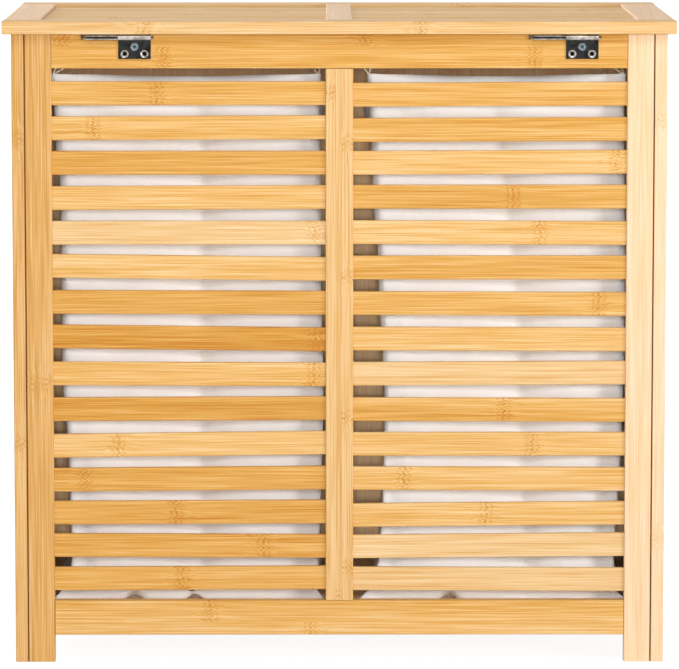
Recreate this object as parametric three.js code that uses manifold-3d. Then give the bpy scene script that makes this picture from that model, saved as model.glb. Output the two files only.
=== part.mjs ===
// A bamboo laundry hamper with two cloth bags under one hinged, slatted lid.
// Millimetres, +Z up. The origin is on the floor under the middle of the lid.
// -Y is the hinged side, with two columns of slats. +Y is the side that the user faces.

import * as THREE from 'three';
import { mergeVertices } from 'three/addons/utils/BufferGeometryUtils.js';
import Module from 'manifold-3d';

const wasm = await Module();
wasm.setup();

// Overall sizes
const lidWidth = 630;
const lidDepth = 340;
const overallHeight = 608;
const sideOverhang = 8;
const rearOverhang = 8;
const frontOverhang = 8;

// Boards of the case and the lid, and the clearance where two pieces meet
const boardThickness = 12;
const lidThickness = 12;
const arris = 1;
const fit = 0.3;

// Case frame
const stileWidth = 25;
const mullionWidth = 26;
const topRailHeight = 32;
const bottomRailHeight = 33;
const footClearance = 26;
const legWidth = 35;

// Slats, and the tongues at their ends that sit in mortises
const slatWidth = 22.4;
const slatThickness = 6;
const tongueDepth = 6;
const backSlatCount = 15;
const lidSlatCount = 8;

// From the top back slat down: how far each sits below its even place, and how far
// its right end falls, both as shares of the gap between two slats
const leftDropShares = [0.17, 0.12, 0.12, 0.1, 0.12, 0.1, 0.12, 0.19, 0.31, 0.33, 0.42, 0.42, 0.33, 0.24, 0.08];
const rightDropShares = [0.26, 0.28, 0.08, 0.03, 0.12, 0.12, 0.24, 0.3, 0.26, 0.42, 0.4, 0.42, 0.51, 0.24, 0.17];
const leftFallShares = [0, -0.1, 0, -0.1, 0, 0.3, 0.1, 0.3, 0.1, -0.1, -0.3, -0.2, -0.1, 0.1, -0.1];
const rightFallShares = [-0.1, -0.1, -0.1, 0, 0.1, 0, 0.1, 0.1, -0.1, 0.1, 0, 0.1, -0.2, -0.2, 0.1];

// Thin boards in the sides and the front
const infillThickness = 4;

// Bottom board, held in grooves round the bottom rails
const bottomThickness = 5;
const bottomDrop = 3.5;
const grooveDepth = 4;

// Lid frame
const lidRailWidth = 34;
const lidCentreWidth = 25;

// Cloth bags, and the room left round them: beside the case's sides, on each side of its middle,
// at the front and the back, and from a bag's rim up to the underside of the top rail
const bagSideRoom = 25.5;
const bagMiddleRoom = 19.5;
const bagEndRoom = 8;
const bagRimDrop = 6;
const bagCorner = 16;
const bagWall = 3;
const bagWaist = 6;
const bagFootInset = 5;
const bagFootHeight = 10;

// Round pegs that the bags' loops hang on: in from each bag's sides, and up from the rail's underside
const pegRadius = 4;
const pegLength = 13;
const pegMiddleInset = 4.5;
const pegSideInset = 14.5;
const pegRise = 12;

// Lift-off hinges: a pin, rolled knuckles and pressed steel leaves
const leafThickness = 1.3;
const leafWidth = 30.5;
const leafReach = 20.2;
const pinRadius = 1.2;
const knuckleRadius = 2.8;
const pinTip = 2.5;
const leftHingeInset = 62.9;
const rightHingeInset = 58.2;
const notchDepth = 4.7;
const notchSpare = 4;

// Screw holes in each leaf: one near the pin, and two further out
const nearHoleReach = 8.8;
const farHoleReach = 15.5;
const farHoleSpread = 9.2;
const holeRadius = 2;
const sinkRadius = 3.7;

// Countersunk screws
const screwHeadRadius = 3.4;
const screwShankRadius = 1.6;
const screwLength = 10;
const screwPoint = 2.4;
const screwCrown = 0.6;

// How far a cutter runs past the face that it opens, and how finely curves are drawn
const overrun = 1;
const arrisSteps = 1;
const roundSteps = 32;
const bagCornerSteps = 4;
const coordinatesPerPoint = 3;

// Faces that the pieces line up with
const backFace = -lidDepth / 2 + rearOverhang;
const backInside = backFace + boardThickness;
const backMiddle = (backFace + backInside) / 2;
const frontFace = lidDepth / 2 - frontOverhang;
const frontInside = frontFace - boardThickness;
const outerHalf = lidWidth / 2 - sideOverhang;
const innerHalf = outerHalf - boardThickness;
const frameHalf = innerHalf - fit;
const stileInner = frameHalf - stileWidth;
const railHalf = stileInner - fit;
const lidUnder = overallHeight - lidThickness;
const lidMiddle = (lidUnder + overallHeight) / 2;
const caseTop = lidUnder - fit;
const topRailUnder = caseTop - topRailHeight;
const bottomRailTop = footClearance + bottomRailHeight;
const bottomTop = bottomRailTop - bottomDrop;
const bagFloor = bottomTop + fit;
const bagOuterSide = innerHalf - bagSideRoom;
const grooveTop = bottomTop + fit;
const grooveUnder = bottomTop - bottomThickness - fit;
const recess = (boardThickness - infillThickness) / 2;

const bamboo = { color: '#e6b878', roughness: 0.5, metalness: 0 };
const bambooSlat = { color: '#e0a860', roughness: 0.5, metalness: 0 };
const bambooPanel = { color: '#d9a968', roughness: 0.55, metalness: 0 };
const rawBoard = { color: '#b98e63', roughness: 0.75, metalness: 0 };
const cotton = { color: '#f0eeea', roughness: 0.95, metalness: 0 };
const platedSteel = { color: '#8d8a86', roughness: 0.3, metalness: 1 };
const zincScrew = { color: '#b9bfc4', roughness: 0.3, metalness: 1 };

const hamper = new THREE.Group();
const lid = new THREE.Group();
hamper.add(lid);

function addPiece(name, geometry, finish, group = hamper) {
  const piece = new THREE.Mesh(geometry, new THREE.MeshStandardMaterial(finish));
  piece.name = name;
  group.add(piece);
}

const at = (x, y, z) => new THREE.Vector3(x, y, z);

function unit(axis) {
  const direction = at(0, 0, 0);
  direction[axis] = 1;
  return direction;
}

// Turns a closed geometry into a solid that can be cut and joined
function solidOf(geometry) {
  const bare = geometry.clone();
  bare.deleteAttribute('normal');
  bare.deleteAttribute('uv');
  const merged = mergeVertices(bare);
  return new wasm.Manifold(new wasm.Mesh({
    numProp: coordinatesPerPoint,
    vertProperties: new Float32Array(merged.attributes.position.array),
    triVerts: new Uint32Array(merged.index.array),
  }));
}

function geometryOf(solid) {
  const mesh = solid.getMesh();
  const geometry = new THREE.BufferGeometry();
  geometry.setAttribute('position', new THREE.BufferAttribute(mesh.vertProperties, coordinatesPerPoint));
  geometry.setIndex(new THREE.BufferAttribute(mesh.triVerts, 1));
  geometry.computeVertexNormals();
  return geometry;
}

function cut(geometry, cutters) {
  const left = cutters.reduce((solid, cutter) => solid.subtract(solidOf(cutter)), solidOf(geometry));
  return geometryOf(left);
}

function join(geometries) {
  const [first, ...others] = geometries.map(solidOf);
  return geometryOf(others.reduce((whole, solid) => whole.add(solid), first));
}

// A plain box between two corners
function block(low, high) {
  const size = high.clone().sub(low);
  const middle = low.clone().add(high).divideScalar(2);
  return new THREE.BoxGeometry(size.x, size.y, size.z).translate(middle.x, middle.y, middle.z);
}

// The axes that an outline's width and height lie along, for each way that it can be drawn out
const outlineAxes = { x: ['y', 'z'], y: ['z', 'x'], z: ['x', 'y'] };

// Draws an outline out along an axis, from one place on it to another
function drawOut(along, outline, from, to, settings) {
  const geometry = new THREE.ExtrudeGeometry(outline, { bevelEnabled: false, ...settings, depth: to - from });
  const [widthAxis, heightAxis] = outlineAxes[along];
  const turn = new THREE.Matrix4().makeBasis(unit(widthAxis), unit(heightAxis), unit(along));
  return geometry.translate(0, 0, from).applyMatrix4(turn);
}

// A board between two corners, with the edges along its length eased
function board(along, low, high) {
  const [widthAxis, heightAxis] = outlineAxes[along];
  const left = low[widthAxis] + arris;
  const right = high[widthAxis] - arris;
  const under = low[heightAxis] + arris;
  const top = high[heightAxis] - arris;
  const quarter = Math.PI / 2;
  const outline = new THREE.Shape();
  outline.absarc(right, top, arris, 0, quarter);
  outline.absarc(left, top, arris, quarter, quarter * 2);
  outline.absarc(left, under, arris, quarter * 2, quarter * 3);
  outline.absarc(right, under, arris, quarter * 3, quarter * 4);
  return drawOut(along, outline, low[along], high[along], { curveSegments: arrisSteps });
}

// Left is the negative side. A span from the inside outwards is put in order once it is mirrored
const sides = { left: -1, right: 1 };

function span(side, near, far) {
  return [side * near, side * far].sort((one, other) => one - other);
}

// Back slats: each has its own drop and fall, and the mortise for it is the same slat with room round it
const backSlatLength = stileInner - mullionWidth / 2 + tongueDepth * 2;
const backSlatMiddle = (stileInner + mullionWidth / 2) / 2;
const backOpening = topRailUnder - bottomRailTop;
const backGap = (backOpening - backSlatCount * slatWidth) / (backSlatCount + 1);
const slatPlaceShares = {
  left: { drops: leftDropShares, falls: leftFallShares },
  right: { drops: rightDropShares, falls: rightFallShares },
};

function backSlat(sideName, index, room) {
  const { drops, falls } = slatPlaceShares[sideName];
  const even = topRailUnder - backGap - slatWidth / 2 - index * (backGap + slatWidth);
  const drop = drops[index % drops.length] * backGap;
  const fall = falls[index % falls.length] * backGap;
  const half = at(backSlatLength, slatThickness, slatWidth).divideScalar(2).addScalar(room);
  const shape = room > 0 ? block(half.clone().negate(), half) : board('x', half.clone().negate(), half);
  return shape
    .rotateY(Math.atan2(fall, backSlatLength))
    .translate(sides[sideName] * backSlatMiddle, backMiddle, even - drop);
}

const backSlatNumbers = Array.from({ length: backSlatCount }, (_, index) => index);
const backMortises = {
  left: backSlatNumbers.map((index) => backSlat('left', index, fit)),
  right: backSlatNumbers.map((index) => backSlat('right', index, fit)),
};

// Back frame: two stiles that run down to the floor, and a mullion between two rails
for (const [sideName, side] of Object.entries(sides)) {
  const [left, right] = span(side, stileInner, frameHalf);
  const stile = board('z', at(left, backFace, 0), at(right, backInside, caseTop));
  addPiece(`${sideName}_back_stile`, cut(stile, backMortises[sideName]), bamboo);
}

const mullion = board(
  'z',
  at(-mullionWidth / 2, backFace, bottomRailTop + fit),
  at(mullionWidth / 2, backInside, topRailUnder - fit),
);
addPiece('back_mullion', cut(mullion, [...backMortises.left, ...backMortises.right]), bamboo);

for (const sideName of Object.keys(sides)) {
  for (const index of backSlatNumbers) {
    const number = String(index + 1).padStart(2, '0');
    addPiece(`${sideName}_back_slat_${number}`, backSlat(sideName, index, 0), bambooSlat);
  }
}

const bottomRail = board(
  'x',
  at(-railHalf, backFace, footClearance),
  at(railHalf, backInside, bottomRailTop),
);
const backGroove = block(
  at(-railHalf - overrun, backInside - grooveDepth - fit, grooveUnder),
  at(railHalf + overrun, backInside + overrun, grooveTop),
);
addPiece('back_bottom_rail', cut(bottomRail, [backGroove]), bamboo);

// Hinges: the lid's leaf is on the left of each, the case's leaf on the right.
// With the lid shut, the case's leaf hangs down the back and the lid's leaf lies level under the lid
const pinHeight = lidUnder - fit - knuckleRadius;
const pinPlace = backFace - fit - knuckleRadius;
const hingePlaces = { left: leftHingeInset - stileInner, right: stileInner - rightHingeInset };
const leafOffset = (leafWidth + fit) / 2;
const pilotRadius = screwShankRadius + fit;
const pilotDepth = screwLength - leafThickness;
const leafHoles = [
  { across: 0, out: nearHoleReach },
  { across: -farHoleSpread, out: farHoleReach },
  { across: farHoleSpread, out: farHoleReach },
];

// A round bar that stands along Y, from one place to another
function roundBar(radius, from, to) {
  return new THREE.CylinderGeometry(radius, radius, to - from, roundSteps).translate(0, (from + to) / 2, 0);
}

// The same bar laid along X
function levelBar(radius, from, to) {
  return roundBar(radius, from, to).rotateZ(-Math.PI / 2);
}

const casePilots = (place) => leafHoles.map((hole) => roundBar(pilotRadius, -overrun, pilotDepth)
  .translate(place + leafOffset + hole.across, backFace, pinHeight - hole.out));

const lidPilots = (place) => leafHoles.map((hole) => roundBar(pilotRadius, -overrun, pilotDepth)
  .rotateX(Math.PI / 2)
  .translate(place - leafOffset + hole.across, pinPlace + hole.out, lidUnder));

// The top rail is notched over the lid's leaf
const topRail = board('x', at(-railHalf, backFace, topRailUnder), at(railHalf, backInside, caseTop));
const hingeNotch = (place) => block(
  at(place - leafOffset - leafWidth / 2 - notchSpare, backFace - overrun, caseTop - notchDepth),
  at(place + fit, backInside + overrun, caseTop + overrun),
);
const topRailCuts = Object.values(hingePlaces).flatMap((place) => [hingeNotch(place), ...casePilots(place)]);

// Four pegs in a row, from one place on Y to another, two for each bag
function pegs(from, to) {
  return Object.values(sides)
    .flatMap((side) => [side * (bagMiddleRoom + pegMiddleInset), side * (bagOuterSide - pegSideInset)])
    .map((place) => roundBar(pegRadius, from, to).translate(place, 0, topRailUnder + pegRise));
}

const backPegs = pegs(backMiddle, backInside + pegLength);
addPiece('back_top_rail', join([cut(topRail, topRailCuts), ...backPegs]), bamboo);

// Sides: a rear and a front leg, with a framed thin board between them
const sideBoardBack = backFace + legWidth + fit;
const sideBoardFront = frontFace - legWidth - fit;

function sideBoardOutline(side) {
  const corners = [
    [footClearance, outerHalf], [bottomRailTop, outerHalf],
    [bottomRailTop, outerHalf - recess], [topRailUnder, outerHalf - recess],
    [topRailUnder, outerHalf], [caseTop, outerHalf],
    [caseTop, innerHalf], [topRailUnder, innerHalf],
    [topRailUnder, innerHalf + recess], [bottomRailTop, innerHalf + recess],
    [bottomRailTop, innerHalf], [grooveTop, innerHalf],
    [grooveTop, innerHalf + grooveDepth + fit], [grooveUnder, innerHalf + grooveDepth + fit],
    [grooveUnder, innerHalf], [footClearance, innerHalf],
  ];
  return new THREE.Shape(corners.map(([height, out]) => new THREE.Vector2(height, side * out)));
}

for (const [sideName, side] of Object.entries(sides)) {
  const [left, right] = span(side, innerHalf, outerHalf);
  const rearLeg = board('z', at(left, backFace, 0), at(right, backFace + legWidth, caseTop));
  const frontLeg = board('z', at(left, frontFace - legWidth, 0), at(right, frontFace, caseTop));
  const panel = drawOut('y', sideBoardOutline(side), sideBoardBack, sideBoardFront);
  addPiece(`${sideName}_rear_leg`, rearLeg, bamboo);
  addPiece(`${sideName}_front_leg`, frontLeg, bamboo);
  addPiece(`${sideName}_side_panel`, panel, bambooPanel);
}

// Front: one framed panel with two thin boards, and a groove for the bottom board
const frontPanel = board('x', at(-frameHalf, frontInside, footClearance), at(frameHalf, frontFace, caseTop));
const frontGroove = block(
  at(-frameHalf - overrun, frontInside - overrun, grooveUnder),
  at(frameHalf + overrun, frontInside + grooveDepth + fit, grooveTop),
);
const frontRecesses = Object.values(sides).flatMap((side) => {
  const [left, right] = span(side, mullionWidth / 2, stileInner);
  return [[frontInside - overrun, frontInside + recess], [frontFace - recess, frontFace + overrun]]
    .map(([near, far]) => block(at(left, near, bottomRailTop), at(right, far, topRailUnder)));
});
const frontPegs = pegs(frontInside - pegLength, frontFace - recess);
addPiece('front_panel', join([cut(frontPanel, [frontGroove, ...frontRecesses]), ...frontPegs]), bambooPanel);

// Bottom board: its tongues reach into the grooves and clear the stiles and legs
const rearTongueHalf = railHalf - fit;
const bottomCorners = [
  [rearTongueHalf, backInside - grooveDepth], [rearTongueHalf, backInside + fit],
  [frameHalf, backInside + fit], [frameHalf, sideBoardBack],
  [innerHalf + grooveDepth, sideBoardBack], [innerHalf + grooveDepth, sideBoardFront],
  [frameHalf, sideBoardFront], [frameHalf, frontInside + grooveDepth],
];
const mirroredCorners = bottomCorners.map(([x, y]) => [-x, y]).reverse();
const bottomOutline = new THREE.Shape(
  [...bottomCorners, ...mirroredCorners].map(([x, y]) => new THREE.Vector2(x, y)),
);
addPiece('bottom_board', drawOut('z', bottomOutline, bottomTop - bottomThickness, bottomTop), rawBoard);

// Bags: an open-topped cloth shell that is drawn in at the waist and at its foot
const bagWidth = bagOuterSide - bagMiddleRoom;
const bagDepth = frontInside - backInside - bagEndRoom * 2;
const bagHeight = topRailUnder - bagRimDrop - bagFloor;
const bagCentre = at((bagMiddleRoom + bagOuterSide) / 2, (backInside + frontInside) / 2, bagFloor);

// A ring is the outline of a box with round corners, drawn in by an inset
function bagRing(inset, height) {
  const ring = [];
  const radius = bagCorner - Math.min(inset, bagCorner / 2);
  const cornerX = bagWidth / 2 - inset - radius;
  const cornerY = bagDepth / 2 - inset - radius;
  const corners = [[1, 1], [-1, 1], [-1, -1], [1, -1]];
  corners.forEach(([signX, signY], corner) => {
    for (let step = 0; step <= bagCornerSteps; step += 1) {
      const angle = (corner + step / bagCornerSteps) * Math.PI / 2;
      ring.push(
        signX * cornerX + radius * Math.cos(angle),
        signY * cornerY + radius * Math.sin(angle),
        height,
      );
    }
  });
  return ring;
}

function bagGeometry() {
  const rings = [
    bagRing(bagFootInset, 0),
    bagRing(0, bagFootHeight),
    bagRing(bagWaist, bagHeight / 2),
    bagRing(0, bagHeight),
    bagRing(bagWall, bagHeight),
    bagRing(bagWaist + bagWall, bagHeight / 2),
    bagRing(bagWall, bagFootHeight),
    bagRing(bagFootInset + bagWall, bagWall),
  ];
  const ringSize = rings[0].length / coordinatesPerPoint;
  const lastRing = (rings.length - 1) * ringSize;
  const underMiddle = rings.length * ringSize;
  const floorMiddle = underMiddle + 1;
  const points = [...rings.flat(), 0, 0, 0, 0, 0, bagWall];
  const faces = [];
  for (let place = 0; place < ringSize; place += 1) {
    const next = (place + 1) % ringSize;
    for (let level = 0; level < lastRing; level += ringSize) {
      faces.push(level + place, level + next, level + ringSize + next);
      faces.push(level + place, level + ringSize + next, level + ringSize + place);
    }
    faces.push(underMiddle, next, place);
    faces.push(floorMiddle, lastRing + place, lastRing + next);
  }
  const geometry = new THREE.BufferGeometry();
  geometry.setAttribute('position', new THREE.Float32BufferAttribute(points, coordinatesPerPoint));
  geometry.setIndex(faces);
  geometry.computeVertexNormals();
  return geometry;
}

for (const [sideName, side] of Object.entries(sides)) {
  const bag = bagGeometry().translate(side * bagCentre.x, bagCentre.y, bagCentre.z);
  addPiece(`${sideName}_bag`, bag, cotton);
}

// Lid: two rails across its whole width, two stiles between them,
// and a centre rail with the slats let through it
const lidRear = -lidDepth / 2;
const lidFront = lidDepth / 2;
const lidRearInner = lidRear + lidRailWidth;
const lidFrontInner = lidFront - lidRailWidth;
const lidStileInner = lidWidth / 2 - lidRailWidth;
const lidGap = (lidFrontInner - lidRearInner - lidSlatCount * slatWidth) / (lidSlatCount + 1);

const rearRail = board(
  'x',
  at(-lidWidth / 2, lidRear, lidUnder),
  at(lidWidth / 2, lidRearInner, overallHeight),
);
addPiece('lid_rear_rail', cut(rearRail, Object.values(hingePlaces).flatMap(lidPilots)), bamboo, lid);

const frontRail = board(
  'x',
  at(-lidWidth / 2, lidFrontInner, lidUnder),
  at(lidWidth / 2, lidFront, overallHeight),
);
addPiece('lid_front_rail', frontRail, bamboo, lid);

function lidSlat(index, room) {
  const middle = lidRearInner + lidGap + slatWidth / 2 + index * (lidGap + slatWidth);
  const half = at(lidStileInner + tongueDepth, slatWidth / 2, slatThickness / 2).addScalar(room);
  const shape = room > 0 ? block(half.clone().negate(), half) : board('x', half.clone().negate(), half);
  return shape.translate(0, middle, lidMiddle);
}

const lidSlatNumbers = Array.from({ length: lidSlatCount }, (_, index) => index);
for (const [sideName, side] of Object.entries(sides)) {
  const [left, right] = span(side, lidStileInner, lidWidth / 2);
  const stile = board(
    'y',
    at(left, lidRearInner + fit, lidUnder),
    at(right, lidFrontInner - fit, overallHeight),
  );
  addPiece(`lid_${sideName}_stile`, cut(stile, lidSlatNumbers.map((index) => lidSlat(index, fit))), bamboo, lid);
}

const centreRail = board(
  'y',
  at(-lidCentreWidth / 2, lidRearInner + fit, lidUnder),
  at(lidCentreWidth / 2, lidFrontInner - fit, overallHeight),
);
const slatGrid = join([centreRail, ...lidSlatNumbers.map((index) => lidSlat(index, 0))]);
addPiece('lid_slats_and_centre_rail', slatGrid, bambooSlat, lid);

// A turned shape whose profile runs from its axis out and back, standing along Z
function turned(profile) {
  const points = profile.map(([radius, height]) => new THREE.Vector2(radius, height));
  return new THREE.LatheGeometry(points, roundSteps).rotateX(Math.PI / 2);
}

// A countersunk hole that opens at height zero and runs up through a leaf
const sinkCutter = () => turned([
  [0, -overrun],
  [sinkRadius, -overrun],
  [sinkRadius, 0],
  [holeRadius, leafThickness],
  [holeRadius, leafThickness + overrun],
  [0, leafThickness + overrun],
]);

// A screw with its head's rim at height zero, and its point above
const headDepth = leafThickness * (screwHeadRadius - screwShankRadius) / (sinkRadius - holeRadius);
const screw = () => turned([
  [0, -screwCrown],
  [screwHeadRadius / 2, -screwCrown],
  [screwHeadRadius, 0],
  [screwShankRadius, headDepth],
  [screwShankRadius, screwLength - screwPoint],
  [0, screwLength],
]);

// A leaf lies level, its holes opening downwards, and reaches along Y from the pin on X
function leaf(knuckle, bore) {
  const plate = block(
    at(-leafWidth / 2, 0, knuckleRadius - leafThickness),
    at(leafWidth / 2, leafReach, knuckleRadius),
  );
  const sinks = leafHoles.map((hole) => sinkCutter()
    .translate(hole.across, hole.out, knuckleRadius - leafThickness));
  return cut(join([plate, ...knuckle]), [...sinks, ...bore]);
}

const knuckle = levelBar(knuckleRadius, -leafWidth / 2, leafWidth / 2);
const pin = levelBar(pinRadius, -leafWidth / 2 - pinTip, leafWidth * 1.5 + fit + pinTip);
const pinBore = levelBar(pinRadius + fit, -leafWidth / 2 - overrun, leafWidth / 2 + overrun);

for (const [sideName, place] of Object.entries(hingePlaces)) {
  const lidLeafPlace = at(place - leafOffset, pinPlace, pinHeight);
  const lidLeaf = leaf([knuckle, pin], []).translate(...lidLeafPlace);
  addPiece(`${sideName}_hinge_lid_leaf`, lidLeaf, platedSteel, lid);
  leafHoles.slice(1).forEach((hole, index) => {
    const lidScrew = screw().translate(hole.across, hole.out, knuckleRadius - leafThickness);
    addPiece(`${sideName}_hinge_lid_screw_${index + 1}`, lidScrew.translate(...lidLeafPlace), zincScrew, lid);
  });

  const hangDown = -Math.PI / 2;
  const caseLeafPlace = at(place + leafOffset, pinPlace, pinHeight);
  const caseLeaf = leaf([knuckle], [pinBore]).rotateX(hangDown).translate(...caseLeafPlace);
  addPiece(`${sideName}_hinge_case_leaf`, caseLeaf, platedSteel);
  const caseScrew = screw()
    .translate(leafHoles[0].across, leafHoles[0].out, knuckleRadius - leafThickness)
    .rotateX(hangDown)
    .translate(...caseLeafPlace);
  addPiece(`${sideName}_hinge_case_screw`, caseScrew, zincScrew);
}

export default hamper;
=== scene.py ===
import math
import random

import bmesh
import bpy
from mathutils import Matrix, Vector, noise


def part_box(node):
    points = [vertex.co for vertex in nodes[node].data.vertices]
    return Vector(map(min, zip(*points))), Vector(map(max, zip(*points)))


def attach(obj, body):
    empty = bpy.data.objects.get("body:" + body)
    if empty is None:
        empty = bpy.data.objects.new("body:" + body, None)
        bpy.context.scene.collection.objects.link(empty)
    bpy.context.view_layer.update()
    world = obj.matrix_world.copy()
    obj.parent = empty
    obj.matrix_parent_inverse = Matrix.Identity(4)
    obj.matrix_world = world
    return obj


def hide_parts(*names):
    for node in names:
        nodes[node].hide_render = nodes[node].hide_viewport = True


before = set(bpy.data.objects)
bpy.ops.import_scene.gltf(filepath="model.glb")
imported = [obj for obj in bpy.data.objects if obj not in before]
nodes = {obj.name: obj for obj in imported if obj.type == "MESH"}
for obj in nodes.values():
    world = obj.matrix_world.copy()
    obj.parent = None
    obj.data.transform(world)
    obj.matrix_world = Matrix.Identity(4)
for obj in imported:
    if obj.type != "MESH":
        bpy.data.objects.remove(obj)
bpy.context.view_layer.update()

# Camera. A long lens looks at the hinged back of the hamper from a little above its lid.
camera_place = (-0.0148, -4.578, 0.860)
camera_fall = math.radians(7.06)
camera_turn = math.radians(0.193)

camera_data = bpy.data.cameras.new("camera")
camera_data.sensor_fit = "HORIZONTAL"
camera_data.sensor_width = 36
camera_data.lens = 250.6
camera_data.clip_end = 60
camera = bpy.data.objects.new("camera", camera_data)
camera.location = camera_place
camera.rotation_euler = (math.pi / 2 - camera_fall, 0, -camera_turn)
bpy.context.scene.collection.objects.link(camera)
bpy.context.scene.camera = camera


# Back frame and legs: laminated bamboo boards with eased edges and a clear satin lacquer,
# glued up from strips whose joints (knuckles) fall at different heights, then dowelled together.
def linear(code):
    """A colour written as sRGB hex, turned to the linear values that a shader takes."""
    shares = [int(code[place:place + 2], 16) / 255 for place in (1, 3, 5)]
    return [s / 12.92 if s <= 0.04045 else ((s + 0.055) / 1.055) ** 2.4 for s in shares] + [1]


def add(tree, kind, settings=None, inputs=None, stops=None):
    """Adds a node with its settings, its values and links, and a colour ramp's stops."""
    made = tree.nodes.new("ShaderNode" + kind)
    for name, value in (settings or {}).items():
        setattr(made, name, value)
    for place, value in (inputs or {}).items():
        if isinstance(value, bpy.types.Node):
            value = value.outputs[0]
        if isinstance(value, bpy.types.NodeSocket):
            tree.links.new(value, made.inputs[place])
        else:
            made.inputs[place].default_value = value
    for number, (position, colour) in enumerate(stops or []):
        elements = made.color_ramp.elements
        stop = elements[number] if number < 2 else elements.new(position)
        stop.position = position
        stop.color = colour
    return made


def new_material(name):
    material = bpy.data.materials.new(name)
    material.use_nodes = True
    return material, material.node_tree, material.node_tree.nodes["Principled BSDF"]


# Laminated bamboo, planed and lacquered. The eye sees fibre streaks a millimetre or two wide
# along the strip, broader bands of tone, and at each knuckle a jagged row of short golden strokes
# with pale ones beside them. Real fibres are 0.3 mm wide: they are drawn at 0.85 mm, so that they show.
# Each kind of bamboo has four colours, from its dark streaks to its pale ones.
honey = ["#AF6F20", "#C28D3D", "#D0A25D", "#DCBB8A"]
fair = ["#BB8842", "#CCA064", "#D6B483", "#DEC7A1"]
pale = ["#D3A576", "#DDB68B", "#E5C3A0", "#EACFB7"]

# The size of each pattern's cells in mm: along the grain, across it, and into the board
bamboo_cells = {
    "fibres": (75, 0.85, 0.85), "strands": (150, 2.0, 2.0), "bands": (420, 9, 9),
    "comb": (400, 1.4, 1.4), "waves": (16, 5, 5), "dashes": (4.5, 1.5, 1.5),
}
fibre_depths = {"fibres": 1.25, "strands": 0.5, "bands": 0.45}

# A knuckle, in metres: half its height, how far around it the fibres are disturbed and how far they
# swing, the spacing of its strokes, and how far its line wanders along the grain
knuckle_half, knuckle_reach, fibre_swing = 0.0075, 0.032, 0.006
stroke_spacing, knuckle_wander = 0.0052, 0.018
# Half the width of the dark line painted at a seam, as painted shade in the joint
seam_shade_half = 0.0006
lacquer_roughness, raw_roughness = 0.5, 0.75
most_strips = 32


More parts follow.
